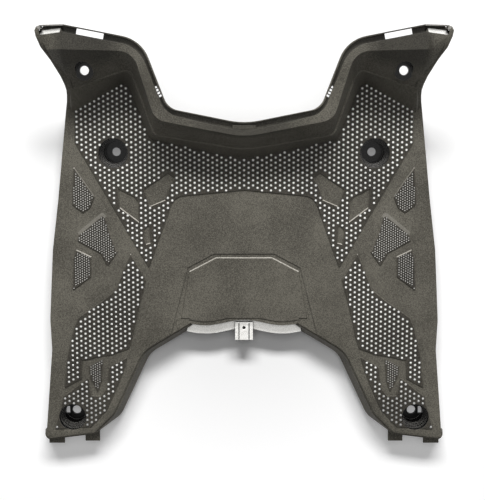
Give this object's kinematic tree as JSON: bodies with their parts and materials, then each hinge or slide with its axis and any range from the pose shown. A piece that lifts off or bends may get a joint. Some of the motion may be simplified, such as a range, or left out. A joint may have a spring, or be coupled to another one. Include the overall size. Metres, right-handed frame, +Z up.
{
  "type": "scooter floorboard",
  "caption": "Moulded plastic floorboard of a scooter: flat studded deck, raised horned front rim round a neck notch, two rear legs, bolt wells and a rear tab.",
  "frame": {"origin": "centre of the footprint, at the height of the feet of the bolt wells", "axes": "+X to the right of the rider, +Y forward to the horns, +Z up out of the deck"},
  "size_m": [0.4342, 0.442, 0.097],
  "materials": {
    "black_plastic": "grained matt black moulded polypropylene"
  },
  "bodies": {
    "root": {"floorboard": "black_plastic"}
  },
  "joints": []
}
